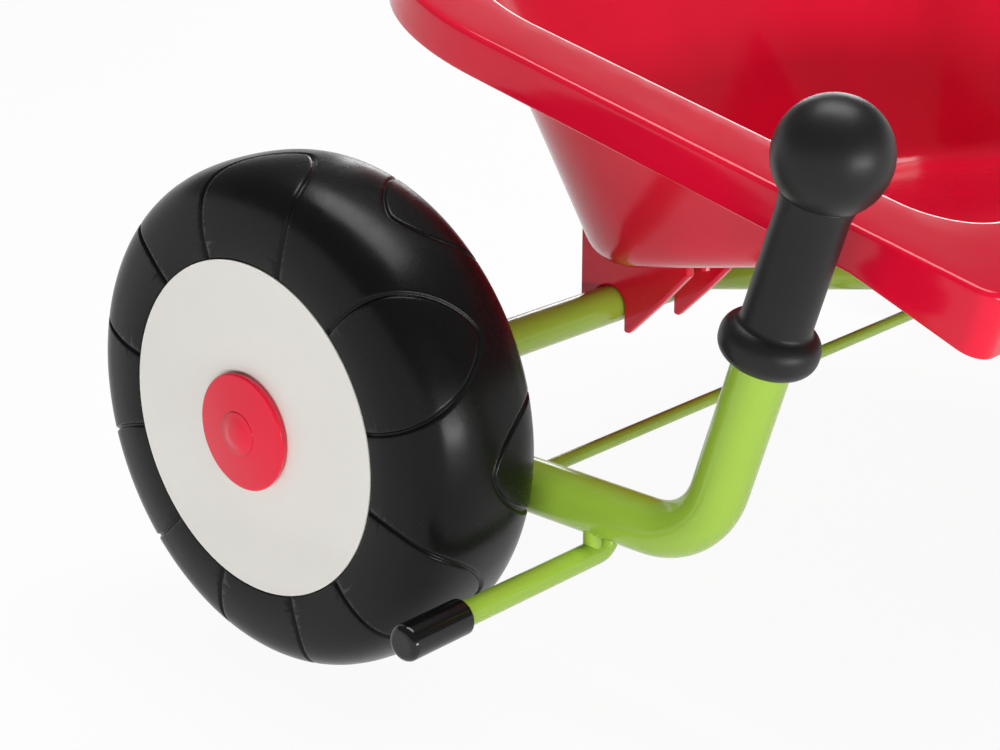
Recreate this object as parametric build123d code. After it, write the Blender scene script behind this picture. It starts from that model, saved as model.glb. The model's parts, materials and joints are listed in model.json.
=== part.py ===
"""Two-wheeled toddler wheelbarrow: +X to its right, +Y forward, +Z up, millimetres."""
import os
from math import cos, radians, sin

from build123d import *

# Wheels
WHEEL_D = 210.0
TYRE_W = 65.0
TYRE_WALL = 8.5
TYRE_LIP = 1.5
TYRE_FLANK = 1.0
TREAD_SHARE = 0.72
TREAD_DROP = 6.0
CHEEK_DRAFT = 2.0
TRACK = 573.0
DISC_D = 138.0
DISC_T = 3.0
DISC_GAP = 0.3
DISC_HOLE_D = 40.0
HUB_CAP_D = 48.0
HUB_CAP_H = 6.0
HUB_CAP_FLARE = 2.5
HUB_CAP_WALL = 2.0
HUB_CAP_SKIRT = 6.0
HUB_CAP_NUB_D = 10.0
HUB_CAP_NUB_H = 1.5
RIM_D = 128.0
RIM_FLANGE = 8.0
RIM_WEB_T = 5.0
HUB_D = 30.0
SPOKE_COUNT = 8
SPOKE_T = 4.0

# Axle
AXLE_D = 10.0
AXLE_TUBE_D = 18.0
AXLE_TUBE_WALL = 2.0
AXLE_BUSH_L = 20.0
BUSH_WALL = 3.0
BUSH_L = 14.0
WASHER_D = 20.0
WASHER_T = 2.0
PUSH_NUT_D = 20.0
PUSH_NUT_T = 3.0
AXLE_END = 1.0
RUN_CLEARANCE = 0.05
END_CLEARANCE = 0.3

# Side rails and handles
RAIL_D = 22.0
RAIL_WALL = 1.5
RAIL_GAP = 3.0
RAIL_DROP = 25.0
RAIL_FRONT = 26.0
RAIL_REAR = 164.5
RAIL_BEND_R = 34.0
HANDLE_LEAN = 17.0
HANDLE_L = 150.0
PLUG_DEPTH = 14.0
PLUG_HEAD_T = 2.5
HANGER_T = 5.0
HANGER_L = 36.0
HANGER_RISE = 7.0
HANGER_R = 14.0

# Grips
GRIP_START = 81.0
GRIP_D = 26.0
FLANGE_D = 37.0
FLANGE_H = 16.0
FLANGE_R = 7.4
BALL_D = 42.0
BALL_AT = 163.0

# Capped side bars
SIDE_BAR_D = 10.0
SIDE_BAR_BEHIND = 115.5
SIDE_BAR_GAP = 1.5
SIDE_BAR_REACH = 346.0
SIDE_BAR_BEND_R = 8.0
SIDE_BAR_INSET = 5.0
LUG_D = 7.5
LUG_OFFSET = 5.0
BAR_CAP_D = 14.0
BAR_CAP_L = 31.0
BAR_CAP_END = 4.0
BAR_CAP_MOUTH_R = 0.8

# Cross rod
CROSS_ROD_D = 6.0
CROSS_ROD_BEHIND = 72.5

# Tray: floor plane rises to the rear, rim plane falls to the rear
TRAY_WALL = 3.0
FLOOR_T = 3.5
FLOOR_RISE = 22.5
FLOOR_TILT = 11.75
FRONT_HALF_W = 75.0
FLOOR_HALF_W = 132.0
FLOOR_NOSE_Y = -50.0
FLOOR_SETBACK = 14.0
FLOOR_CORNER_R = 26.0
FLOOR_FILLET = 14.0
RIM_RISE = 143.5
RIM_TILT = 14.0
RIM_HALF_W = 197.0
RIM_NOSE_Y = -10.0
RIM_REAR_Y = -263.0
RIM_CORNER_R = 10.0
MOUTH_HALF_W = 160.0
MOUTH_REAR_Y = -226.0
MOUTH_CORNER_R = 30.0
LEDGE_T = 3.0
SKIRT_T = 3.0
SKIRT_H = 18.0
SKIRT_REAR_H = 26.5
SKIRT_BREAK_Y = -205.0
RIM_EDGE_R = 2.5

# Saddle ribs that straddle the axle tube
SADDLE_X = 75.0
RIB_SPREAD = 19.0
RIB_T = 6.0
RIB_FRONT = 16.5
RIB_FRONT_DROP = 6.0
RIB_REAR = 46.0
RIB_SHOULDER_Y = 31.5
RIB_SHOULDER_Z = 7.0
FANG_Y = 12.0
FANG_DROP = 12.0
FANG_R = 1.4
RIB_EDGE_R = 1.8
SADDLE_WEB_T = 5.0
BOSS_R = 4.5
BOSS_SPREAD = 17.0
BOSS_H = 14.0
BOSS_BEHIND = 24.0
SADDLE_SCREW_R = 2.0
HOLE_CLEARANCE = 0.2
SCREW_HEAD_R = 4.5
SCREW_HEAD_H = 2.5
SCREW_L = 13.0

# Tray bar and stand
TRAY_BAR_X = 30.0
TRAY_BAR_D = 18.0
TRAY_BAR_WALL = 2.0
TRAY_BAR_DROP = 20.4
TRAY_BAR_L = 204.0
TRAY_SCREW_R = 2.5
TRAY_SCREW_HEAD_R = 5.5
TRAY_SCREW_HEAD_H = 3.0
TRAY_SCREW_L = 22.0
TRAY_SCREW_AT = (38.0, 185.0)
SPACER_R = 8.0
STAND_D = 10.0
STAND_HALF_W = 110.0
STAND_TOP_BEHIND = 196.0
STAND_FOOT_BEHIND = 246.0
STAND_BEND_R = 14.0
FOOT_L = 20.0
FOOT_WALL = 2.5
FOOT_TOP_R = 6.0
FOOT_INSET = 40.0

# Share of a small edge that is rounded over
EDGE_ROUND = 0.7

# Places worked out from the driving dimensions
AXLE_Z = WHEEL_D / 2
RAIL_Z = AXLE_Z - RAIL_DROP
WHEEL_X = -TRACK / 2
FACE_X = WHEEL_X - TYRE_W / 2
INNER_X = WHEEL_X + TYRE_W / 2
HUB_OUT_X = FACE_X + DISC_T + HUB_CAP_SKIRT
WASHER_X = HUB_OUT_X - END_CLEARANCE
NUT_X = WASHER_X - WASHER_T
TUBE_END_X = INNER_X + WASHER_T + 2 * END_CLEARANCE
RAIL_X = -INNER_X - RAIL_GAP - RAIL_D / 2
SIDE_BAR_Z = RAIL_Z - RAIL_D / 2 - SIDE_BAR_GAP - SIDE_BAR_D / 2
BOSS_AT = (-SADDLE_X - BOSS_SPREAD, -SADDLE_X + BOSS_SPREAD)
FLOOR_REAR_Y = MOUTH_REAR_Y + FLOOR_SETBACK
HANDLE_DIR = Vector(0, -sin(radians(HANDLE_LEAN)), cos(radians(HANDLE_LEAN)))
FOOT_X = STAND_HALF_W - FOOT_INSET
RAIL_VERTEX = Vector(-RAIL_X, -RAIL_REAR, RAIL_Z)
FLOOR_PLANE = Plane(
    origin=(0, 0, AXLE_Z + FLOOR_RISE),
    x_dir=(1, 0, 0),
    z_dir=(0, sin(radians(FLOOR_TILT)), cos(radians(FLOOR_TILT))),
)
BAR_PLANE = FLOOR_PLANE.offset(-TRAY_BAR_DROP)
RIM_PLANE = Plane(
    origin=(0, 0, AXLE_Z + RIM_RISE),
    x_dir=(1, 0, 0),
    z_dir=(0, -sin(radians(RIM_TILT)), cos(radians(RIM_TILT))),
)


def rod_x(radius, x0, x1, y=0.0, z=AXLE_Z):
    """Solid cylinder along X between two places."""
    return Pos((x0 + x1) / 2, y, z) * Rot(0, 90, 0) * Cylinder(radius, abs(x1 - x0))


def sleeve_x(outer, inner, x0, x1, y=0.0, z=AXLE_Z):
    """Hollow cylinder along X between two places."""
    return rod_x(outer, x0, x1, y, z) - rod_x(inner, x0, x1, y, z)


def swept_rod(path, radius):
    """Round bar that follows a path of lines and tangent arcs."""
    section = Plane(origin=path @ 0, z_dir=path % 0) * Circle(radius)
    return sweep(section, path=path)


def spun(section):
    """Turn a half section, drawn as axial X and radial Y, about the axle line."""
    return Pos(WHEEL_X, 0, AXLE_Z) * revolve(section, axis=Axis.X)


def outer_edge(turned):
    """Round edge nearest the barrow's left on a turned piece along X."""
    return turned.edges().filter_by(GeomType.CIRCLE).sort_by(Axis.X)[:1]


def tyre():
    half = TYRE_W / 2
    bead = RIM_D / 2
    seat = DISC_D / 2
    crown = WHEEL_D / 2
    shoulder = (seat + crown) / 2
    lip = half - TYRE_LIP
    flank = half - TYRE_FLANK
    bulge = (seat + shoulder) / 2
    pocket = half - DISC_T
    cheek = flank - CHEEK_DRAFT
    tread = flank * TREAD_SHARE
    profile = Polyline((pocket, bead), (pocket, seat), (lip, seat))
    profile += ThreePointArc((lip, seat), (half, bulge), (flank, shoulder))
    profile += Bezier((flank, shoulder), (cheek, crown - TREAD_DROP), (tread, crown), (0, crown))
    profile += Bezier((0, crown), (-tread, crown), (-cheek, crown - TREAD_DROP), (-flank, shoulder))
    profile += ThreePointArc((-flank, shoulder), (-half, bulge), (-lip, seat))
    profile += Polyline((-lip, seat), (-pocket, seat), (-pocket, bead))
    air = half - TYRE_WALL
    roof = crown - TYRE_WALL
    profile += Polyline((-pocket, bead), (-air, bead), (-air, shoulder), (-air / 2, roof))
    profile += Polyline((-air / 2, roof), (air / 2, roof), (air, shoulder), (air, bead), (pocket, bead))
    return spun(make_face(profile))


def rim():
    pocket = TYRE_W / 2 - DISC_T
    outer = RIM_D / 2
    inner = outer - RIM_FLANGE
    hub = HUB_D / 2
    bore = AXLE_D / 2 + RUN_CLEARANCE + BUSH_WALL
    depth = pocket - HUB_CAP_SKIRT
    ring = sleeve_x(outer, inner, WHEEL_X - pocket, WHEEL_X + pocket)
    web = rod_x(outer, WHEEL_X - RIM_WEB_T / 2, WHEEL_X + RIM_WEB_T / 2)
    core = rod_x(hub, HUB_OUT_X, INNER_X)
    spokes = Part()
    reach = (inner + hub) / 2
    for i in range(SPOKE_COUNT):
        blade = Pos(0, 0, reach) * Box(2 * depth, SPOKE_T, inner - hub + SPOKE_T)
        spokes += Pos(WHEEL_X, 0, AXLE_Z) * Rot(360 / SPOKE_COUNT * i, 0, 0) * blade
    return ring + web + core + spokes - rod_x(bore, HUB_OUT_X, INNER_X)


def disc():
    return sleeve_x(DISC_D / 2 - DISC_GAP, DISC_HOLE_D / 2, FACE_X, FACE_X + DISC_T)


def hub_cap():
    """Button-shaped snap cap: flared foot, rounded rim, centre nub, skirt in the disc's hole."""
    skirt = DISC_HOLE_D / 2
    lip = HUB_CAP_D / 2
    brim = FACE_X - HUB_CAP_FLARE
    top = FACE_X - HUB_CAP_H
    foot = Pos((FACE_X + brim) / 2, 0, AXLE_Z) * Rot(0, -90, 0) * Cone(skirt, lip, HUB_CAP_FLARE)
    dome = rod_x(lip, top, brim)
    dome = fillet(outer_edge(dome), (HUB_CAP_H - HUB_CAP_FLARE) * EDGE_ROUND)
    nub = rod_x(HUB_CAP_NUB_D / 2, top - HUB_CAP_NUB_H, top)
    nub = fillet(outer_edge(nub), HUB_CAP_NUB_H * EDGE_ROUND)
    collar = rod_x(skirt, FACE_X, FACE_X + HUB_CAP_SKIRT)
    hollow = rod_x(skirt - HUB_CAP_WALL, brim, FACE_X + HUB_CAP_SKIRT)
    return foot + dome + nub + collar - hollow


def wheel_bushes():
    bore = AXLE_D / 2 + RUN_CLEARANCE
    outer = bore + BUSH_WALL
    return [
        sleeve_x(outer, bore, HUB_OUT_X, HUB_OUT_X + BUSH_L),
        sleeve_x(outer, bore, INNER_X - BUSH_L, INNER_X),
    ]


def outer_washer():
    return sleeve_x(WASHER_D / 2, AXLE_D / 2, WASHER_X - WASHER_T, WASHER_X)


def push_nut():
    nut = sleeve_x(PUSH_NUT_D / 2, AXLE_D / 2, NUT_X - PUSH_NUT_T, NUT_X)
    ends = nut.edges().filter_by(GeomType.CIRCLE).sort_by(Axis.X)[:2]
    return fillet(ends.sort_by(SortBy.RADIUS)[-1:], PUSH_NUT_T * EDGE_ROUND)


def inner_washer():
    start = INNER_X + END_CLEARANCE
    return sleeve_x(WASHER_D / 2, AXLE_D / 2, start, start + WASHER_T)


def axle_rod():
    end = NUT_X - PUSH_NUT_T - AXLE_END
    return chamfer(rod_x(AXLE_D / 2, end, -end).edges().filter_by(GeomType.CIRCLE), AXLE_END)


def axle_tube():
    outer = AXLE_TUBE_D / 2
    return sleeve_x(outer, outer - AXLE_TUBE_WALL, TUBE_END_X, -TUBE_END_X)


def axle_bush():
    outer = AXLE_TUBE_D / 2 - AXLE_TUBE_WALL
    return sleeve_x(outer, AXLE_D / 2, TUBE_END_X, TUBE_END_X + AXLE_BUSH_L)


def rail_path():
    start = Vector(-RAIL_X, RAIL_FRONT, RAIL_Z)
    end = RAIL_VERTEX + HANDLE_DIR * HANDLE_L
    return FilletPolyline(start, RAIL_VERTEX, end, radius=RAIL_BEND_R)


def rail_solid():
    return swept_rod(rail_path(), RAIL_D / 2)


def rail():
    return rail_solid() - swept_rod(rail_path(), RAIL_D / 2 - RAIL_WALL)


def rail_plug():
    """Moulded plug in the rail's open front end."""
    turn = Rot(-90, 0, 0)
    head = Pos(-RAIL_X, RAIL_FRONT + PLUG_HEAD_T / 2, RAIL_Z) * turn * Cylinder(RAIL_D / 2, PLUG_HEAD_T)
    head = fillet(head.edges().sort_by(Axis.Y)[-1:], PLUG_HEAD_T * EDGE_ROUND)
    shank = Pos(-RAIL_X, RAIL_FRONT - PLUG_DEPTH / 2, RAIL_Z) * turn
    return head + shank * Cylinder(RAIL_D / 2 - RAIL_WALL, PLUG_DEPTH)


def hanger():
    """Plate welded on top of the rail, with the axle tube through it."""
    low = RAIL_Z
    high = AXLE_Z + AXLE_TUBE_D / 2 + HANGER_RISE
    plate = Pos(-RAIL_X, 0, (low + high) / 2) * Box(HANGER_T, HANGER_L, high - low)
    corners = plate.edges().filter_by(Axis.X).sort_by(Axis.Z)[-2:]
    plate = fillet(corners, HANGER_R)
    return plate - rail_solid() - rod_x(AXLE_TUBE_D / 2, TUBE_END_X, 0)


def grip():
    """Moulded grip: rounded flange, straight body and a ball end, bored for the handle."""
    body = GRIP_D / 2
    ball = BALL_D / 2
    centre = BALL_AT - GRIP_START
    flange = Pos(0, 0, FLANGE_H / 2) * Cylinder(FLANGE_D / 2, FLANGE_H)
    flange = fillet(flange.edges().filter_by(GeomType.CIRCLE), FLANGE_R)
    shaft = Pos(0, 0, centre / 2) * Cylinder(body, centre)
    knob = Pos(0, 0, centre) * Sphere(ball)
    solid = flange + shaft + knob
    bore = Pos(0, 0, (HANDLE_L - GRIP_START) / 2) * Cylinder(RAIL_D / 2, HANDLE_L - GRIP_START)
    seat = Plane(origin=RAIL_VERTEX + HANDLE_DIR * GRIP_START, x_dir=(1, 0, 0), z_dir=HANDLE_DIR)
    return seat * (solid - bore)


def side_bar():
    """Round bar below the rail, turned up at its inner end and welded to the rail."""
    inner = -RAIL_X + SIDE_BAR_INSET
    path = FilletPolyline(
        (-SIDE_BAR_REACH, -SIDE_BAR_BEHIND, SIDE_BAR_Z),
        (inner, -SIDE_BAR_BEHIND, SIDE_BAR_Z),
        (inner, -SIDE_BAR_BEHIND, RAIL_Z),
        radius=SIDE_BAR_BEND_R,
    )
    return swept_rod(path, SIDE_BAR_D / 2) - rail_solid()


def bar_lug():
    """Round stub between the rail and the side bar."""
    middle = Pos(-RAIL_X - LUG_OFFSET, -SIDE_BAR_BEHIND, (SIDE_BAR_Z + RAIL_Z) / 2)
    stub = middle * Cylinder(LUG_D / 2, RAIL_Z - SIDE_BAR_Z)
    bar = rod_x(SIDE_BAR_D / 2, -SIDE_BAR_REACH, -RAIL_X, -SIDE_BAR_BEHIND, SIDE_BAR_Z)
    return stub - rail_solid() - bar


def bar_cap():
    tip = -SIDE_BAR_REACH - BAR_CAP_END
    y = -SIDE_BAR_BEHIND
    cap = rod_x(BAR_CAP_D / 2, tip, tip + BAR_CAP_L, y, SIDE_BAR_Z)
    ends = cap.edges().filter_by(GeomType.CIRCLE).sort_by(Axis.X)
    cap = fillet(ends[:1], BAR_CAP_END * EDGE_ROUND)
    cap = fillet(cap.edges().filter_by(GeomType.CIRCLE).sort_by(Axis.X)[-1:], BAR_CAP_MOUTH_R)
    return cap - rod_x(SIDE_BAR_D / 2, -SIDE_BAR_REACH, tip + BAR_CAP_L, y, SIDE_BAR_Z)


def cross_rod():
    rod = rod_x(CROSS_ROD_D / 2, -RAIL_X, RAIL_X, -CROSS_ROD_BEHIND, RAIL_Z)
    left = rail_solid()
    return rod - left - mirror(left, Plane.YZ)


def tub_outline(half_w, nose_y, rear_y, corner_r):
    """Tray outline: big round front corners, straight sides, small round rear corners."""
    bow = half_w - FRONT_HALF_W
    front = nose_y + bow
    far = bow * cos(radians(45))
    near = corner_r * (1 - cos(radians(45)))
    corner = FRONT_HALF_W + far
    edges = ThreePointArc((-half_w, nose_y), (-corner, nose_y + far), (-FRONT_HALF_W, front))
    edges += Line((-FRONT_HALF_W, front), (FRONT_HALF_W, front))
    edges += ThreePointArc((FRONT_HALF_W, front), (corner, nose_y + far), (half_w, nose_y))
    edges += Line((half_w, nose_y), (half_w, rear_y + corner_r))
    edges += ThreePointArc(
        (half_w, rear_y + corner_r), (half_w - near, rear_y + near), (half_w - corner_r, rear_y)
    )
    edges += Line((half_w - corner_r, rear_y), (corner_r - half_w, rear_y))
    edges += ThreePointArc(
        (corner_r - half_w, rear_y), (near - half_w, rear_y + near), (-half_w, rear_y + corner_r)
    )
    edges += Line((-half_w, rear_y + corner_r), (-half_w, nose_y))
    return make_face(edges)


def tub(shrink, lift):
    """Drafted bowl between the floor plane and the rim plane, with a rounded floor edge."""
    low = FLOOR_PLANE.offset(lift) * tub_outline(
        FLOOR_HALF_W - shrink, FLOOR_NOSE_Y, FLOOR_REAR_Y + shrink, FLOOR_CORNER_R - shrink
    )
    high = RIM_PLANE * tub_outline(
        MOUTH_HALF_W + TRAY_WALL - shrink, RIM_NOSE_Y, MOUTH_REAR_Y - TRAY_WALL + shrink,
        MOUTH_CORNER_R + TRAY_WALL - shrink,
    )
    bowl = loft([low, high], ruled=True)
    middle = (FLOOR_PLANE.offset(lift) * Pos(0, FLOOR_REAR_Y / 2, 0)).position
    floor = bowl.faces().sort_by_distance(middle)[0]
    return fillet(floor.edges(), FLOOR_FILLET - shrink / 2)


def below_skirt():
    """Space under the skirt's lower edge, which dips towards the rear."""
    front = RIM_NOSE_Y + RIM_HALF_W
    low = -3 * SKIRT_REAR_H
    edge = Polyline(
        (front, -SKIRT_H), (SKIRT_BREAK_Y, -SKIRT_H), (RIM_REAR_Y, -SKIRT_REAR_H),
        (2 * RIM_REAR_Y, -SKIRT_REAR_H), (2 * RIM_REAR_Y, low), (front, low), (front, -SKIRT_H),
    )
    return RIM_PLANE * extrude(Plane.YZ * make_face(edge), 2 * RIM_HALF_W, both=True)


def tray():
    deep = 2 * SKIRT_REAR_H
    block = RIM_PLANE * extrude(tub_outline(RIM_HALF_W, RIM_NOSE_Y, RIM_REAR_Y, RIM_CORNER_R), -deep)
    block = fillet(block.faces().sort_by(Axis.Z)[-1].edges(), RIM_EDGE_R)
    under = tub_outline(
        RIM_HALF_W - SKIRT_T, RIM_NOSE_Y, RIM_REAR_Y + SKIRT_T, RIM_CORNER_R - SKIRT_T / 2
    )
    channel = RIM_PLANE.offset(-LEDGE_T) * extrude(under, LEDGE_T - deep)
    body = block - channel - below_skirt() + tub(0.0, 0.0)
    mouth = tub_outline(MOUTH_HALF_W, RIM_NOSE_Y, MOUTH_REAR_Y, MOUTH_CORNER_R)
    body = body - tub(TRAY_WALL, FLOOR_T) - RIM_PLANE * extrude(mouth, SKIRT_H)
    return body


def floor_post(radius, x, behind, top, bottom):
    """Round post square to the tray floor, between two heights over the floor plane."""
    return FLOOR_PLANE * Pos(x, -behind, (top + bottom) / 2) * Cylinder(radius, top - bottom)


def through_floor(radius, x, behind):
    return floor_post(radius + HOLE_CLEARANCE, x, behind, 2 * FLOOR_T, -FLOOR_T)


def tray_bar_core(radius):
    middle = Pos(-TRAY_BAR_X, -TRAY_BAR_L / 2, 0) * Rot(90, 0, 0)
    return BAR_PLANE * middle * Cylinder(radius, TRAY_BAR_L)


def tray_with_holes():
    body = tray()
    for side in (-1, 1):
        for behind in TRAY_SCREW_AT:
            body -= through_floor(TRAY_SCREW_R, side * TRAY_BAR_X, behind)
        for x in BOSS_AT:
            body -= through_floor(SADDLE_SCREW_R, side * x, BOSS_BEHIND)
    return body


def saddle_rib(high):
    """Fanged rib with round edges, open below so that it drops over the axle tube."""
    outline = Polyline(
        (RIB_FRONT, high), (RIB_FRONT, AXLE_Z - RIB_FRONT_DROP), (0, AXLE_Z - RIB_FRONT_DROP),
        (-AXLE_TUBE_D / 2, AXLE_Z - FANG_DROP), (-FANG_Y, AXLE_Z - FANG_DROP),
        (-RIB_SHOULDER_Y, AXLE_Z + RIB_SHOULDER_Z), (-RIB_REAR, AXLE_Z + FLOOR_RISE),
        (-RIB_REAR, high), (RIB_FRONT, high),
    )
    rib = extrude(Plane.YZ * make_face(outline), RIB_T / 2, both=True)
    slot = Pos(0, 0, AXLE_Z - AXLE_TUBE_D) * Box(2 * RIB_T, AXLE_TUBE_D, 2 * AXLE_TUBE_D)
    rib -= rod_x(AXLE_TUBE_D / 2, -RIB_T, RIB_T) + slot
    rib = fillet(rib.edges().filter_by(Axis.X).sort_by(Axis.Z)[:2], FANG_R)
    rims = rib.faces().filter_by(Axis.X).edges()
    return fillet(rims.filter_by(lambda edge: edge.center().Y < -AXLE_TUBE_D / 2), RIB_EDGE_R)


def axle_saddle():
    """Two ribs over the axle tube, joined by a front web and screwed to the tray by bosses."""
    high = AXLE_Z + RIM_RISE / 2
    rib = saddle_rib(high)
    saddle = Pos(-SADDLE_X - RIB_SPREAD, 0, 0) * rib + Pos(-SADDLE_X + RIB_SPREAD, 0, 0) * rib
    low = AXLE_Z + AXLE_TUBE_D / 2 - RIB_FRONT_DROP
    web = Pos(-SADDLE_X, RIB_FRONT - SADDLE_WEB_T / 2, (low + high) / 2)
    saddle += web * Box(2 * RIB_SPREAD, SADDLE_WEB_T, high - low)
    for x in BOSS_AT:
        saddle += floor_post(BOSS_R, x, BOSS_BEHIND, FLOOR_T, -BOSS_H)
    for x in BOSS_AT:
        saddle -= floor_post(SADDLE_SCREW_R, x, BOSS_BEHIND, FLOOR_T, FLOOR_T - SCREW_L)
    return saddle - tub(0.0, 0.0)


def round_head(radius, height, x, behind):
    """Low domed screw head seated on the tray floor."""
    head = Cylinder(radius, height)
    head = fillet(head.edges().filter_by(GeomType.CIRCLE).sort_by(Axis.Z)[-1:], height * EDGE_ROUND)
    return FLOOR_PLANE.offset(FLOOR_T) * Pos(x, -behind, height / 2) * head


def saddle_screws():
    screws = []
    for x in BOSS_AT:
        shank = floor_post(SADDLE_SCREW_R, x, BOSS_BEHIND, FLOOR_T, FLOOR_T - SCREW_L)
        screws.append(round_head(SCREW_HEAD_R, SCREW_HEAD_H, x, BOSS_BEHIND) + shank)
    return screws


def tray_screw_shank(behind):
    return floor_post(TRAY_SCREW_R, -TRAY_BAR_X, behind, FLOOR_T, FLOOR_T - TRAY_SCREW_L)


def tray_screws():
    screws = []
    for behind in TRAY_SCREW_AT:
        head = round_head(TRAY_SCREW_HEAD_R, TRAY_SCREW_HEAD_H, -TRAY_BAR_X, behind)
        screws.append(head + tray_screw_shank(behind))
    return screws


def tray_spacers():
    """Posts that fill the gap from the tray floor down to the tray bar."""
    spacers = []
    for behind in TRAY_SCREW_AT:
        post = floor_post(SPACER_R, -TRAY_BAR_X, behind, 0, -TRAY_BAR_DROP)
        hole = floor_post(TRAY_SCREW_R + HOLE_CLEARANCE, -TRAY_BAR_X, behind, 0, -TRAY_BAR_DROP)
        spacers.append(post - hole - tray_bar_core(TRAY_BAR_D / 2))
    return spacers


def tray_bar():
    """Tube under the tray, shaped at its front end to the axle tube that it is welded to."""
    bar = tray_bar_core(TRAY_BAR_D / 2) - tray_bar_core(TRAY_BAR_D / 2 - TRAY_BAR_WALL)
    for behind in TRAY_SCREW_AT:
        bar -= tray_screw_shank(behind)
    return bar - rod_x(AXLE_TUBE_D / 2, -TRAY_BAR_X - TRAY_BAR_D, TRAY_BAR_D - TRAY_BAR_X)


def bar_plug():
    """Moulded plug in the tray bar's open rear end."""
    end = BAR_PLANE * Pos(-TRAY_BAR_X, -TRAY_BAR_L, 0) * Rot(90, 0, 0)
    head = Pos(0, 0, PLUG_HEAD_T / 2) * Cylinder(TRAY_BAR_D / 2, PLUG_HEAD_T)
    head = fillet(head.edges().filter_by(GeomType.CIRCLE).sort_by(Axis.Z)[-1:], PLUG_HEAD_T * EDGE_ROUND)
    shank = Pos(0, 0, -PLUG_DEPTH / 2) * Cylinder(TRAY_BAR_D / 2 - TRAY_BAR_WALL, PLUG_DEPTH)
    return end * (head + shank)


def stand_hoop():
    """Bent rod that holds the rear up: a leg from each tray bar and a run near the floor."""
    top = (BAR_PLANE * Pos(0, -STAND_TOP_BEHIND, 0)).position
    foot_z = STAND_D / 2 + FOOT_WALL
    path = FilletPolyline(
        (-TRAY_BAR_X, top.Y, top.Z),
        (-STAND_HALF_W, -STAND_FOOT_BEHIND, foot_z),
        (STAND_HALF_W, -STAND_FOOT_BEHIND, foot_z),
        (TRAY_BAR_X, top.Y, top.Z),
        radius=STAND_BEND_R,
    )
    bar = tray_bar_core(TRAY_BAR_D / 2)
    return swept_rod(path, STAND_D / 2) - bar - mirror(bar, Plane.YZ)


def stand_foot():
    """Moulded shoe round the stand's low run, with a flat sole."""
    width = STAND_D + 2 * FOOT_WALL
    shoe = Pos(-FOOT_X, -STAND_FOOT_BEHIND, width / 2) * Box(FOOT_L, width, width)
    along = shoe.edges().filter_by(Axis.X).sort_by(Axis.Z)
    shoe = fillet(along[-2:], FOOT_TOP_R)
    shoe = fillet(shoe.edges().filter_by(Axis.X).sort_by(Axis.Z)[:2], FOOT_WALL * EDGE_ROUND)
    hole = rod_x(STAND_D / 2, -FOOT_X - FOOT_L, -FOOT_X + FOOT_L, -STAND_FOOT_BEHIND, width / 2)
    return shoe - hole


SINGLE_PIECES = {
    "tray": tray_with_holes,
    "stand_hoop": stand_hoop,
    "axle_tube": axle_tube,
    "axle_rod": axle_rod,
    "cross_rod": cross_rod,
}
PAIRED_PIECES = {
    "tyre": tyre,
    "rim": rim,
    "disc": disc,
    "hub_cap": hub_cap,
    "wheel_bushes": wheel_bushes,
    "outer_washer": outer_washer,
    "inner_washer": inner_washer,
    "push_nut": push_nut,
    "axle_bush": axle_bush,
    "rail": rail,
    "rail_plug": rail_plug,
    "hanger": hanger,
    "grip": grip,
    "side_bar": side_bar,
    "bar_lug": bar_lug,
    "bar_cap": bar_cap,
    "stand_foot": stand_foot,
    "axle_saddle": axle_saddle,
    "saddle_screws": saddle_screws,
    "tray_screws": tray_screws,
    "tray_spacers": tray_spacers,
    "tray_bar": tray_bar,
    "bar_plug": bar_plug,
}


def solids_of(made):
    """Flat list of solids from one piece or a list of pieces."""
    pieces = made if isinstance(made, list) else [made]
    return [solid for piece in pieces for solid in piece.solids()]


def build_nodes():
    nodes = {name: solids_of(make()) for name, make in SINGLE_PIECES.items()}
    for name, make in PAIRED_PIECES.items():
        left = solids_of(make())
        nodes["left_" + name] = left
        nodes["right_" + name] = [mirror(solid, about=Plane.YZ) for solid in left]
    return nodes


def main():
    os.makedirs("parts", exist_ok=True)
    nodes = build_nodes()
    box = Compound([solid for solids in nodes.values() for solid in solids]).bounding_box()
    centre = Pos(0, -(box.min.Y + box.max.Y) / 2, 0)
    print("size", box.size, "axle at y", centre.position.Y, "z", AXLE_Z)
    for name, solids in nodes.items():
        placed = [centre * solid for solid in solids]
        export_step(placed[0] if len(placed) == 1 else Compound(placed), f"parts/{name}.step")


if __name__ == "__main__":
    main()
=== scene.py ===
"""Looks of the toddler wheelbarrow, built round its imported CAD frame.

Places in the frame are metres: +X to the barrow's right, +Y forward, +Z up. Sizes of the pieces are
millimetres, and become metres where a piece is made.
"""
import json
import math

import bpy
import numpy as np
from mathutils import Matrix, Vector


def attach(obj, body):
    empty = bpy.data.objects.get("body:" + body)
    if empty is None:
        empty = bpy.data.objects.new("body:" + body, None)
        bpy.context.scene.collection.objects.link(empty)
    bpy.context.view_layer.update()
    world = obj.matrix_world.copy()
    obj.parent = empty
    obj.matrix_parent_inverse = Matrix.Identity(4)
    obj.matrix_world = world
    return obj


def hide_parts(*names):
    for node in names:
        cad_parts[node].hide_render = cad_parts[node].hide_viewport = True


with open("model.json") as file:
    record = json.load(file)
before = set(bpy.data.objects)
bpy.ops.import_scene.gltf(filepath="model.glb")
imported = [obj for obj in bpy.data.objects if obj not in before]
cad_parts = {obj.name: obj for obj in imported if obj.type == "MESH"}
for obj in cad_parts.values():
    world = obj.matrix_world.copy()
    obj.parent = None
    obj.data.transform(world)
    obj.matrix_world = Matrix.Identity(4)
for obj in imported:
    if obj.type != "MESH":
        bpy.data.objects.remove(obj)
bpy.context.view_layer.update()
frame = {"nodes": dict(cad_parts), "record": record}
nodes = frame["nodes"]
scene = bpy.context.scene

MM = 0.001
SIDES = (("left", -1), ("right", 1))
WHEEL_X, AXLE_Y, AXLE_Z = frame["record"]["behaviour"]["joints"][0]["pos_m"]

# Turned pieces: they end on their axis in a pinhole of this radius, in mm
POLE_R = 0.02
TURNED_STEPS = 96

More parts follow.
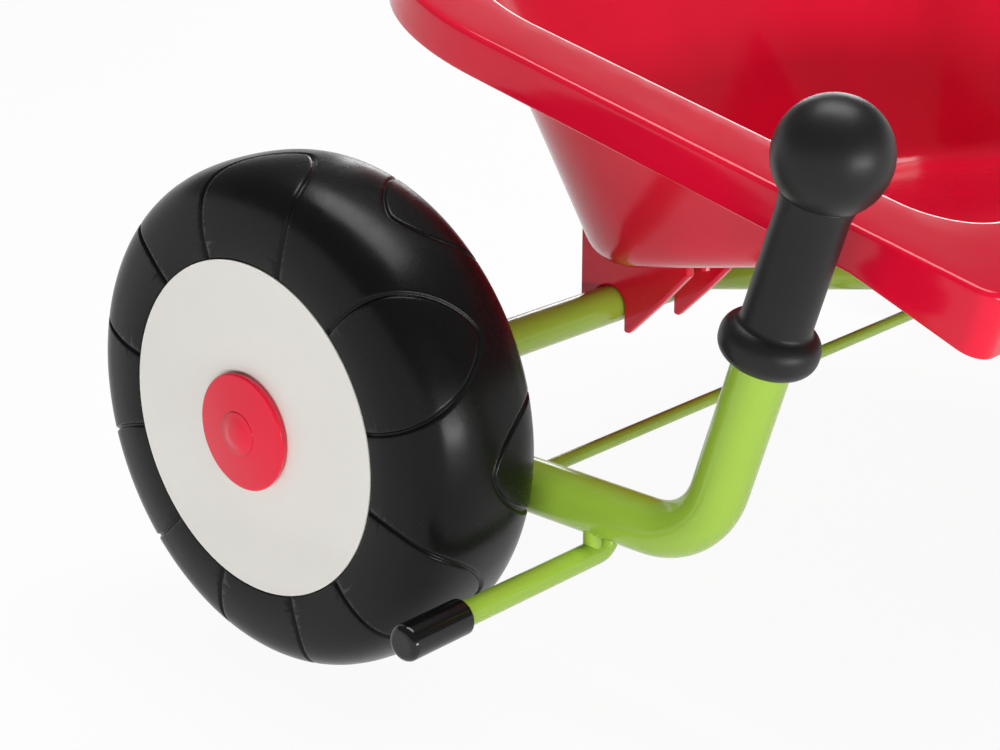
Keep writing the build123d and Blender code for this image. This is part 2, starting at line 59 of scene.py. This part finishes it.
# Tyre, in mm: axial places are from the wheel's middle, and the two pulls are the handles of the
# curve from the shoulder to the crown
TYRE_HALF_W = 32.5
TYRE_EDGE_R = 69.0
TYRE_EDGE_AT = 32.2
TYRE_BULGE_R = 78.0
TYRE_SHOULDER_R = 87.0
TYRE_SHOULDER_AT = 31.5
TYRE_CROWN_R = 104.98
TYRE_SHOULDER_PULL = (29.5, 99.0)
TYRE_CROWN_PULL = 22.68
TYRE_BORE_R = 64.0
TYRE_BORE_AT = 29.5
SIDEWALL_POINTS = 16
CROWN_POINTS = 60
TYRE_GRID = (1440, 221)
TYRE_FACE_SHARE = 0.30

# Grooves in the tyre: each outlines a tongue that reaches a little past the crown
TONGUES = 6
TONGUE_HALF_ANGLE = 17.0
TONGUE_PAST_CROWN = 3.5
TONGUE_WIDTH_POWER = 1.5
TONGUE_REACH_POWER = 2.1
GROOVE_HALF_W = 1.2
GROOVE_DEPTH = 1.1
GROOVE_EDGE_POWER = 1.5
GROOVE_FADE = 0.5
NEAR_ZERO = 1e-4

# Hub cap: axial place from the disc's face and radius of each point of its outline, and how far from
# the point its rounding starts
CAP_POINTS = (
    (-6.0, 18.0, 0), (-6.0, 20.0, 0.4), (0.3, 20.0, 0), (0.3, 23.1, 0.2), (3.5, 24.2, 0.4),
    (4.2, 23.4, 0.5), (5.6, 11.0, 2.5), (5.9, 7.4, 1.8), (7.0, 4.2, 1.5), (7.2, 1.5, 0.8),
    (7.15, POLE_R, 0),
)

# Grip on the leaning handle: a bulged flange, a straight body and a ball
RAIL_X = 240.0
RAIL_Z = 80.0
RAIL_REAR = 164.5
HANDLE_LEAN = 17.0
GRIP_START = 81.0
GRIP_BORE_R = 11.0
BULGE_R = 7.4
BULGE_RING_R = 11.1
BULGE_LOW = 7.4
BULGE_HIGH = 8.6
BULGE_END = 64.0
BODY_POINTS = (
    (15.3, 14.25, 0), (16.4, 13.05, 1.3), (40.0, 13.0, 6.0), (63.0, 13.0, 4.5), (66.5, 14.15, 0),
)
BALL_R = 21.0
BALL_AT = 82.0
BALL_NECK_R = 14.2

# Tray: its rim plane falls to the rear and its floor plane rises to the rear. Rises and Y places are
# from the axle. Each ledge ring is an inset from the rim and a corner radius.
RIM_TILT = 14.0
RIM_RISE = 143.5
RIM_HALF_W = 197.0
RIM_NOSE_Y = -10.0
RIM_REAR_Y = -263.0
RIM_CORNER_R = 10.0
RIM_ROUND = 3.4
FLOOR_TILT = -11.75
FLOOR_RISE = 22.5
FLOOR_HALF_W = 132.0
FLOOR_NOSE_Y = -50.0
FLOOR_REAR_Y = -212.0
FLOOR_CORNER_R = 26.0
FLOOR_ROUND = 15.0
FLOOR_T = 3.5
FLOOR_INSETS = (48.0, 30.0)
FRONT_HALF_W = 75.0
MOUTH_HALF_W = 163.0
MOUTH_REAR_Y = -229.0
MOUTH_CORNER_R = 33.0
MOUTH_ROUND = 2.2
WALL_T = 3.0
WALL_RINGS = 11
LEDGE_T = 3.0
LEDGE_RINGS = ((25.0, 26.0), (12.0, 18.0))
LEDGE_UNDER_ROUND = 1.0
SKIRT_T = 3.0
SKIRT_H = 18.0
SKIRT_REAR_H = 26.5
SKIRT_BREAK_Y = -205.0
SKIRT_OUTER_LIFTS = (-8.0, -13.0)
SKIRT_INNER_LIFTS = (-12.0, -6.0)
SKIRT_INNER_TOP = -4.0
HEM_ROUND = 1.2
NOSE_ARC_POINTS = 36
FRONT_POINTS = 24
SIDE_POINTS = 30
CORNER_POINTS = 16
REAR_POINTS = 36
LEAST_CORNER_R = 1.0

# Studio and camera: metres, with angles in degrees, and the lens and sensor in mm
STUDIO_HALF = 20.0
STUDIO_H = 5.0
FLOOR_GREY = 0.92
FLOOR_ROUGHNESS = 0.9
SEEN_WHITE = 0.94
WORLD_STRENGTH = 0.18
CAMERA_FROM_DISC = Vector((-0.4747, -0.5706, 0.2854))
CAMERA_HEADING = 47.436
CAMERA_PITCH = 19.628
CAMERA_LENS = 72.0
CAMERA_SENSOR = 36.0
CAMERA_NEAR = 0.05

# Places worked out from the sizes
DISC_FACE = TYRE_HALF_W * MM - WHEEL_X
LEAN = math.radians(HANDLE_LEAN)
HANDLE_DIR = Vector((0, -math.sin(LEAN), math.cos(LEAN)))


# Materials

DRIFT_SCALE = 14.0
DRIFT_BAND = (0.35, 0.65)
SMEAR_SCALE = 90.0
SMEAR_BAND = (0.3, 0.7)
SKIN_HEIGHT = 0.0004


def new_material(name):
    mat = bpy.data.materials.new(name)
    mat.use_nodes = True
    tree = mat.node_tree
    return mat, tree, tree.nodes["Principled BSDF"]


def noise(tree, scale, detail, roughness=0.5):
    place = tree.nodes.get("Texture Coordinate") or tree.nodes.new("ShaderNodeTexCoord")
    node = tree.nodes.new("ShaderNodeTexNoise")
    node.inputs["Scale"].default_value = scale
    node.inputs["Detail"].default_value = detail
    node.inputs["Roughness"].default_value = roughness
    tree.links.new(place.outputs["Object"], node.inputs["Vector"])
    return node.outputs["Fac"]


def colour_between(tree, source, dark, light):
    node = tree.nodes.new("ShaderNodeValToRGB")
    for element, position, colour in zip(node.color_ramp.elements, DRIFT_BAND, (dark, light)):
        element.position = position
        element.color = (*colour, 1)
    tree.links.new(source, node.inputs["Fac"])
    return node.outputs["Color"]


def value_between(tree, source, low, high):
    node = tree.nodes.new("ShaderNodeMapRange")
    node.inputs["From Min"].default_value, node.inputs["From Max"].default_value = SMEAR_BAND
    node.inputs["To Min"].default_value = low
    node.inputs["To Max"].default_value = high
    tree.links.new(source, node.inputs["Value"])
    return node.outputs["Result"]


def surface(name, light, dark, rough, grain, bump, specular=0.5, metallic=0.0):
    """Colour that drifts a little, roughness with a fine smear, and a moulded or sprayed skin."""
    mat, tree, bsdf = new_material(name)
    drift = noise(tree, DRIFT_SCALE, detail=4.0)
    tree.links.new(colour_between(tree, drift, dark, light), bsdf.inputs["Base Color"])
    smear = noise(tree, SMEAR_SCALE, detail=5.0, roughness=0.6)
    tree.links.new(value_between(tree, smear, *rough), bsdf.inputs["Roughness"])
    skin = tree.nodes.new("ShaderNodeBump")
    skin.inputs["Strength"].default_value = bump
    skin.inputs["Distance"].default_value = SKIN_HEIGHT
    tree.links.new(noise(tree, grain, detail=2.0), skin.inputs["Height"])
    tree.links.new(skin.outputs["Normal"], bsdf.inputs["Normal"])
    bsdf.inputs["Metallic"].default_value = metallic
    bsdf.inputs["Specular IOR Level"].default_value = specular
    return mat


def grey(value):
    return (value, value, value)


LOOKS = {
    "red_plastic": dict(light=(0.73, 0.005, 0.034), dark=(0.67, 0.004, 0.029),
                        rough=(0.13, 0.18), grain=900.0, bump=0.02, specular=0.38),
    "green_paint": dict(light=(0.300, 0.470, 0.050), dark=(0.278, 0.440, 0.044),
                        rough=(0.15, 0.21), grain=700.0, bump=0.03, specular=0.45),
    "tyre": dict(light=(0.0045, 0.0045, 0.0046), dark=(0.0030, 0.0030, 0.0031),
                 rough=(0.24, 0.31), grain=1500.0, bump=0.06, specular=0.17),
    "white_plastic": dict(light=(0.72, 0.702, 0.662), dark=(0.695, 0.677, 0.637),
                          rough=(0.42, 0.52), grain=1200.0, bump=0.06, specular=0.3),
    "grip_rubber": dict(light=grey(0.011), dark=grey(0.008),
                        rough=(0.36, 0.44), grain=1600.0, bump=0.10, specular=0.28),
    "black_plastic": dict(light=grey(0.006), dark=grey(0.004),
                          rough=(0.12, 0.17), grain=900.0, bump=0.03, specular=0.4),
    "rim_plastic": dict(light=grey(0.020), dark=grey(0.015),
                        rough=(0.42, 0.52), grain=900.0, bump=0.10),
    "bush_plastic": dict(light=(0.62, 0.61, 0.57), dark=(0.56, 0.55, 0.51),
                         rough=(0.42, 0.52), grain=900.0, bump=0.08),
    "plated_steel": dict(light=(0.60, 0.60, 0.61), dark=(0.50, 0.50, 0.52),
                         rough=(0.26, 0.40), grain=500.0, bump=0.08, metallic=1.0),
}
MATERIALS = {slot: surface(slot, **look) for slot, look in LOOKS.items()}

for row in frame["record"]["subparts"]:
    mesh = nodes[row["node"]].data
    mesh.materials.clear()
    mesh.materials.append(MATERIALS[row["material_slot"]])


# Making pieces

def piece(name, verts, faces, body, slot, stands_for):
    """Smooth mesh piece that rides on a body in place of a CAD node."""
    mesh = bpy.data.meshes.new(name)
    mesh.from_pydata([tuple(v) for v in verts], [], [tuple(f) for f in faces])
    mesh.validate()
    mesh.update()
    mesh.polygons.foreach_set("use_smooth", [True] * len(mesh.polygons))
    mesh.materials.append(MATERIALS[slot])
    obj = bpy.data.objects.new(name, mesh)
    scene.collection.objects.link(obj)
    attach(obj, body)
    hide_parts(stands_for)
    return obj


def ring_faces(rings, count, closed=False):
    """Quads between rings of count points each; closed joins the last ring to the first."""
    i = np.arange(count)
    j = (i + 1) % count
    out = []
    for k in range(rings if closed else rings - 1):
        a = k * count
        b = (k + 1) % rings * count
        out.append(np.stack([a + i, a + j, b + j, b + i], 1))
    return np.concatenate(out)


def capped_faces(rings, count):
    """Quads between the rings, and a flat face on the first and the last of them."""
    faces = ring_faces(rings, count).tolist()
    faces.append(list(range(count))[::-1])
    faces.append(list(range((rings - 1) * count, rings * count)))
    return faces


def smooth_line(points, steps=6):
    """Line along (axial, radius, corner) points, rounded from corner before a point to corner after it."""
    out = []
    last = len(points) - 1
    for n, (axial, radius, corner) in enumerate(points):
        p = np.array([axial, radius], float)
        if n in (0, last) or corner == 0:
            out.append(p)
            continue
        u = np.array(points[n - 1][:2], float) - p
        w = np.array(points[n + 1][:2], float) - p
        u /= np.linalg.norm(u)
        w /= np.linalg.norm(w)
        for t in np.linspace(0, 1, steps):
            out.append(p + corner * ((1 - t) ** 2 * u + t ** 2 * w))
    return np.array(out)


def turned_arc(axial, radius, size, start, end, count):
    """Points of an arc about (axial, radius); 0 degrees points away from the axis."""
    t = np.radians(np.linspace(start, end, count))
    return np.stack([axial + size * np.sin(t), np.maximum(radius + size * np.cos(t), POLE_R)], 1)


def lathe(name, line, origin, axis, body, slot, stands_for):
    """Turned piece: line is (axial, radius) rows in mm, from one end of the axis to the other."""
    axis = Vector(axis).normalized()
    out = axis.orthogonal().normalized()
    turn_axes = np.array([axis, out, axis.cross(out)])
    angle = np.linspace(0, 2 * math.pi, TURNED_STEPS, endpoint=False)
    c = np.cos(angle)
    s = np.sin(angle)
    rings = []
    for axial, radius in line * MM:
        local = np.stack([np.full(TURNED_STEPS, axial), radius * c, radius * s], 1)
        rings.append(local @ turn_axes + np.array(origin))
    faces = capped_faces(len(rings), TURNED_STEPS)
    return piece(name, np.concatenate(rings), faces, body, slot, stands_for)


# Tyres

def tyre_skin():
    """Outer skin from the outer disc edge over the crown to the inner one: (axial, radius) rows."""
    radius = np.linspace(TYRE_EDGE_R, TYRE_SHOULDER_R, SIDEWALL_POINTS)
    bow = np.polyfit(
        [TYRE_EDGE_R, TYRE_BULGE_R, TYRE_SHOULDER_R], [TYRE_EDGE_AT, TYRE_HALF_W, TYRE_SHOULDER_AT], 2
    )
    sidewall = np.stack([np.polyval(bow, radius), radius], 1)
    t = np.linspace(0, 1, CROWN_POINTS)[1:, None]
    shoulder = np.array([TYRE_SHOULDER_AT, TYRE_SHOULDER_R])
    crown = np.array([0.0, TYRE_CROWN_R])
    over = (1 - t) ** 3 * shoulder + 3 * (1 - t) ** 2 * t * np.array(TYRE_SHOULDER_PULL)
    over = over + 3 * (1 - t) * t ** 2 * np.array([TYRE_CROWN_PULL, TYRE_CROWN_R]) + t ** 3 * crown
    inner = np.concatenate([sidewall, over])
    outer = inner * np.array([-1, 1])
    return np.concatenate([outer, inner[::-1][1:]])


def groove_depth(run, length, radius, turn):
    """Depth at each place along the skin and each angle: tongues from both sides by turns."""
    depth = np.zeros((len(run), len(turn)))
    reach = length / 2 + TONGUE_PAST_CROWN
    half_pitch = 180.0 / TONGUES
    for along, first in ((run, half_pitch), (length - run, 0.0)):
        off = np.abs((turn - first + half_pitch) % (2 * half_pitch) - half_pitch)[None, :]
        v = np.clip(along / reach, NEAR_ZERO, None)[:, None]
        u = np.clip(off / TONGUE_HALF_ANGLE, NEAR_ZERO, None)
        level = u ** TONGUE_WIDTH_POWER + v ** TONGUE_REACH_POWER - 1
        half_width = np.radians(TONGUE_HALF_ANGLE) * radius[:, None]
        slope_u = TONGUE_WIDTH_POWER * u ** (TONGUE_WIDTH_POWER - 1) / half_width
        slope_v = TONGUE_REACH_POWER * v ** (TONGUE_REACH_POWER - 1) / reach
        away = np.abs(level) / np.hypot(slope_u, slope_v)
        dip = np.clip(1 - (away / GROOVE_HALF_W) ** 2, 0, 1) ** GROOVE_EDGE_POWER
        depth = np.maximum(depth, dip)
    fade = np.clip(np.minimum(run, length - run) / GROOVE_FADE, 0, 1)[:, None]
    return GROOVE_DEPTH * depth * fade


def tyre_mesh():
    """Left tyre: the grooved skin, closed by a plain lining."""
    around, across = TYRE_GRID
    skin = tyre_skin()
    run_at = np.concatenate([[0], np.cumsum(np.linalg.norm(np.diff(skin, axis=0), axis=1))])
    length = run_at[-1]
    run = np.linspace(0, length, across)
    axial = np.interp(run, run_at, skin[:, 0])
    radius = np.interp(run, run_at, skin[:, 1])
    tangent = np.stack([np.gradient(axial, run), np.gradient(radius, run)], 1)
    tangent /= np.linalg.norm(tangent, axis=1)[:, None]
    turn = np.linspace(0, 360, around, endpoint=False)
    depth = groove_depth(run, length, radius, turn)
    lining = np.array([
        (TYRE_BORE_AT, TYRE_EDGE_R), (TYRE_BORE_AT, TYRE_BORE_R),
        (-TYRE_BORE_AT, TYRE_BORE_R), (-TYRE_BORE_AT, TYRE_EDGE_R),
    ])
    skin_axial = axial[:, None] + tangent[:, 1:] * depth
    skin_radius = radius[:, None] - tangent[:, :1] * depth
    axial = np.concatenate([skin_axial, np.repeat(lining[:, :1], around, 1)])
    radius = np.concatenate([skin_radius, np.repeat(lining[:, 1:], around, 1)])
    angle = np.radians(turn)[None, :]
    x = WHEEL_X + axial * MM
    y = AXLE_Y - radius * MM * np.cos(angle)
    z = AXLE_Z + radius * MM * np.sin(angle)
    return np.stack([x, y, z], 2).reshape(-1, 3), ring_faces(len(axial), around, closed=True)


def tyre(side, verts, faces):
    obj = piece(side + "_grooved_tyre", verts, faces, side + "_wheel", "tyre", side + "_tyre")
    thin = obj.modifiers.new("thin", "DECIMATE")
    thin.ratio = TYRE_FACE_SHARE


tyre_verts, tyre_faces = tyre_mesh()
tyre("left", tyre_verts, tyre_faces)
tyre("right", tyre_verts * np.array([-1, 1, 1]), tyre_faces[:, ::-1])


# Hub caps: flat button with a soft nub in the middle

for side, sign in SIDES:
    lathe(side + "_domed_cap", smooth_line(CAP_POINTS), (sign * DISC_FACE, AXLE_Y, AXLE_Z), (sign, 0, 0),
          side + "_wheel", "red_plastic", side + "_hub_cap")


# Grips

def grip_line():
    """Outline of the grip, from its mouth on the handle to the top of the ball."""
    neck = math.degrees(math.asin(BALL_NECK_R / BALL_R)) - 90
    return np.concatenate([
        [(0.0, GRIP_BORE_R)],
        turned_arc(BULGE_LOW, BULGE_RING_R, BULGE_R, -90, 0, count=12),
        turned_arc(BULGE_HIGH, BULGE_RING_R, BULGE_R, 0, BULGE_END, count=12),
        smooth_line(BODY_POINTS),
        turned_arc(BALL_AT, 0.0, BALL_R, neck, 90, count=30),
    ])


for side, sign in SIDES:
    rail_corner = Vector((sign * RAIL_X * MM, AXLE_Y - RAIL_REAR * MM, RAIL_Z * MM))
    lathe(side + "_ball_grip", grip_line(), rail_corner + HANDLE_DIR * (GRIP_START * MM), HANDLE_DIR,
          "frame", "grip_rubber", side + "_grip")


# Tray: one closed shell of rings, from the inner floor over the rim to the outer floor

def plane_axes(tilt):
    """Rows are the axes of a plane that rises to the front by tilt degrees."""
    c = math.cos(math.radians(tilt))
    s = math.sin(math.radians(tilt))
    return np.array([[1, 0, 0], [0, c, s], [0, -s, c]])


RIM_AXES = plane_axes(RIM_TILT)
FLOOR_AXES = plane_axes(FLOOR_TILT)
RIM_UP = RIM_AXES[2]


def on_rim(flat, lift=0.0):
    return np.c_[flat, np.broadcast_to(lift, len(flat))] @ RIM_AXES + np.array([0, 0, RIM_RISE])


def on_floor(flat, lift):
    return np.c_[flat, np.broadcast_to(lift, len(flat))] @ FLOOR_AXES + np.array([0, 0, FLOOR_RISE])


def arc(x, y, radius, start, end, count):
    t = np.radians(np.linspace(start, end, count, endpoint=False))
    return np.stack([x + radius * np.cos(t), y + radius * np.sin(t)], 1)


def straight(p, q, count):
    t = np.linspace(0, 1, count, endpoint=False)[:, None]
    return np.array(p) * (1 - t) + np.array(q) * t


def outline(half_w, nose_y, rear_y, corner_r):
    """Tray outline: big round front corners, straight sides, small round rear corners."""
    bow = half_w - FRONT_HALF_W
    c = max(corner_r, LEAST_CORNER_R)
    front_y = nose_y + bow
    return np.concatenate([
        arc(-FRONT_HALF_W, nose_y, bow, 180, 90, NOSE_ARC_POINTS),
        straight((-FRONT_HALF_W, front_y), (FRONT_HALF_W, front_y), FRONT_POINTS),
        arc(FRONT_HALF_W, nose_y, bow, 90, 0, NOSE_ARC_POINTS),
        straight((half_w, nose_y), (half_w, rear_y + c), SIDE_POINTS),
        arc(half_w - c, rear_y + c, c, 0, -90, CORNER_POINTS),
        straight((half_w - c, rear_y), (c - half_w, rear_y), REAR_POINTS),
        arc(c - half_w, rear_y + c, c, -90, -180, CORNER_POINTS),
        straight((-half_w, rear_y + c), (-half_w, nose_y), SIDE_POINTS),
    ])


def floor_at(inset, lift):
    flat = outline(FLOOR_HALF_W - inset, FLOOR_NOSE_Y, FLOOR_REAR_Y + inset, FLOOR_CORNER_R - inset)
    return on_floor(flat, lift)


def mouth_at(inset):
    flat = outline(MOUTH_HALF_W - inset, RIM_NOSE_Y, MOUTH_REAR_Y + inset, MOUTH_CORNER_R - inset)
    return on_rim(flat)


def rim_outline(inset, corner_r):
    return outline(RIM_HALF_W - inset, RIM_NOSE_Y, RIM_REAR_Y + inset, corner_r)


def rim_at(inset, lift):
    return on_rim(rim_outline(inset, RIM_CORNER_R - inset), lift)


def hem_at(inset, lift):
    """Ring near the skirt's lower edge, which dips towards the rear."""
    flat = rim_outline(inset, RIM_CORNER_R - inset)
    depth = np.interp(-flat[:, 1], [-SKIRT_BREAK_Y, -RIM_REAR_Y], [SKIRT_H, SKIRT_REAR_H])
    return on_rim(flat, lift - depth)


def bend(a, corner, b, steps):
    """Rings on a round corner that leaves a for the corner and ends at b."""
    return [(1 - t) ** 2 * a + 2 * t * (1 - t) * corner + t ** 2 * b for t in np.linspace(0, 1, steps)]


def tub_rings(inset, lift):
    """Rings from the floor's middle up the wall, with the wall's foot and its line at the mouth."""
    foot = floor_at(inset, lift)
    mouth = mouth_at(inset)
    up_wall = (mouth - foot) / np.linalg.norm(mouth - foot, axis=1)[:, None]
    turn = FLOOR_ROUND - inset
    start = foot + up_wall * turn
    rings = [floor_at(inset + step, lift) for step in FLOOR_INSETS]
    rings += bend(floor_at(inset + turn, lift), foot, start, steps=8)
    rings += [start + (mouth - start) * k for k in np.linspace(0, 1, WALL_RINGS)[1:-1]]
    return rings, foot, mouth


def tray_mesh():
    """Inner floor and wall, mouth, ledge, skirt outside and inside, ledge from below, outer tub."""
    rings, foot, mouth = tub_rings(WALL_T, FLOOR_T)
    up_wall = (mouth - foot) / np.linalg.norm(mouth - foot, axis=1)[:, None]
    rings += bend(mouth - up_wall * MOUTH_ROUND, mouth, mouth_at(WALL_T - MOUTH_ROUND), steps=5)
    rings += [on_rim(rim_outline(inset, corner_r)) for inset, corner_r in LEDGE_RINGS]
    rings += bend(rim_at(RIM_ROUND, 0), rim_at(0, 0), rim_at(0, -RIM_ROUND), steps=7)
    rings += [rim_at(0, lift) for lift in SKIRT_OUTER_LIFTS]
    rings += bend(hem_at(0, HEM_ROUND), hem_at(0, 0), hem_at(HEM_ROUND, 0), steps=4)
    rings += bend(hem_at(SKIRT_T - HEM_ROUND, 0), hem_at(SKIRT_T, 0), hem_at(SKIRT_T, HEM_ROUND), steps=4)
    rings += [rim_at(SKIRT_T, lift) for lift in SKIRT_INNER_LIFTS]
    under = rim_at(SKIRT_T + LEDGE_UNDER_ROUND, -LEDGE_T)
    rings += bend(rim_at(SKIRT_T, SKIRT_INNER_TOP), rim_at(SKIRT_T, -LEDGE_T), under, steps=3)
    outer, foot, mouth = tub_rings(0.0, 0.0)
    wall_h = (mouth - foot) @ RIM_UP
    wall_top = mouth - (mouth - foot) * (LEDGE_T / wall_h)[:, None]
    rings += [0.5 * (under + wall_top), wall_top]
    rings += outer[::-1][1:]
    verts = np.concatenate(rings) * MM + np.array([0, AXLE_Y, AXLE_Z])
    return verts, capped_faces(len(rings), len(rings[0]))


piece("moulded_tray", *tray_mesh(), "frame", "red_plastic", "tray")


# Studio: pale floor and walls, soft lamps

def studio_material():
    """Diffuse pale grey that the camera and reflections see as nearly plain white."""
    mat, tree, bsdf = new_material("floor")
    bsdf.inputs["Base Color"].default_value = (*grey(FLOOR_GREY), 1)
    bsdf.inputs["Roughness"].default_value = FLOOR_ROUGHNESS
    bsdf.inputs["Specular IOR Level"].default_value = 0.0
    path = tree.nodes.new("ShaderNodeLightPath")
    seen = path.outputs["Is Camera Ray"]
    for ray in ("Is Glossy Ray", "Is Transmission Ray"):
        either = tree.nodes.new("ShaderNodeMath")
        either.operation = "MAXIMUM"
        tree.links.new(seen, either.inputs[0])
        tree.links.new(path.outputs[ray], either.inputs[1])
        seen = either.outputs[0]
    share = tree.nodes.new("ShaderNodeMath")
    share.operation = "MULTIPLY"
    share.inputs[1].default_value = SEEN_WHITE
    tree.links.new(seen, share.inputs[0])
    white = tree.nodes.new("ShaderNodeEmission")
    white.inputs["Strength"].default_value = 1.0
    mix = tree.nodes.new("ShaderNodeMixShader")
    tree.links.new(share.outputs[0], mix.inputs["Fac"])
    tree.links.new(bsdf.outputs[0], mix.inputs[1])
    tree.links.new(white.outputs[0], mix.inputs[2])
    tree.links.new(mix.outputs[0], tree.nodes["Material Output"].inputs["Surface"])
    return mat


def studio():
    corners = [(-1, -1), (1, -1), (1, 1), (-1, 1)]
    verts = [(x * STUDIO_HALF, y * STUDIO_HALF, z) for z in (0.0, STUDIO_H) for x, y in corners]
    walls = [(k, 4 + k, 4 + (k + 1) % 4, (k + 1) % 4) for k in range(4)]
    mesh = bpy.data.meshes.new("floor")
    mesh.from_pydata(verts, [], [(0, 1, 2, 3)] + walls)
    mesh.materials.append(studio_material())
    obj = bpy.data.objects.new("floor", mesh)
    scene.collection.objects.link(obj)


def lamp(name, place, target, size, power):
    data = bpy.data.lights.new(name, "AREA")
    data.shape = "RECTANGLE"
    data.size, data.size_y = size
    data.energy = power
    obj = bpy.data.objects.new(name, data)
    scene.collection.objects.link(obj)
    obj.location = place
    obj.rotation_euler = (Vector(target) - Vector(place)).to_track_quat("-Z", "Y").to_euler()
    return obj


studio()
world = bpy.data.worlds.new("studio")
scene.world = world
world.use_nodes = True
background = world.node_tree.nodes["Background"]
background.inputs["Color"].default_value = (1, 1, 1, 1)
background.inputs["Strength"].default_value = WORLD_STRENGTH

key = lamp("key", place=(-2.2, -0.95, 0.17), target=(-0.1, 0.0, 0.15), size=(2.0, 0.26), power=34.0)
key.visible_glossy = False
lamp("top", place=(0.15, 0.05, 1.6), target=(0.0, 0.0, 0.15), size=(1.2, 0.7), power=17.0)
lamp("fill", place=(-0.3, -2.1, 0.13), target=(0.0, 0.0, 0.12), size=(1.3, 0.2), power=20.0)
lamp("edge", place=(1.6, 1.1, 0.7), target=(0.0, 0.0, 0.2), size=(1.0, 0.5), power=9.0)


# Camera: behind and left of the left wheel, looking down at the barrow

def camera_axes(heading, pitch):
    """Right, up and backward directions of a level camera that is turned right and tipped down."""
    ch, sh = math.cos(heading), math.sin(heading)
    cp, sp = math.cos(pitch), math.sin(pitch)
    return Vector((ch, -sh, 0)), Vector((sp * sh, sp * ch, cp)), Vector((-cp * sh, -cp * ch, sp))


camera = bpy.data.cameras.new("camera")
camera.lens = CAMERA_LENS
camera.sensor_width = CAMERA_SENSOR
camera.clip_start = CAMERA_NEAR
view = bpy.data.objects.new("camera", camera)
scene.collection.objects.link(view)
turned = Matrix(camera_axes(math.radians(CAMERA_HEADING), math.radians(CAMERA_PITCH))).transposed()
camera_place = Vector((-DISC_FACE, AXLE_Y, AXLE_Z)) + CAMERA_FROM_DISC
view.matrix_world = Matrix.Translation(camera_place) @ turned.to_4x4()
scene.camera = view
scene.view_settings.view_transform = "Standard"
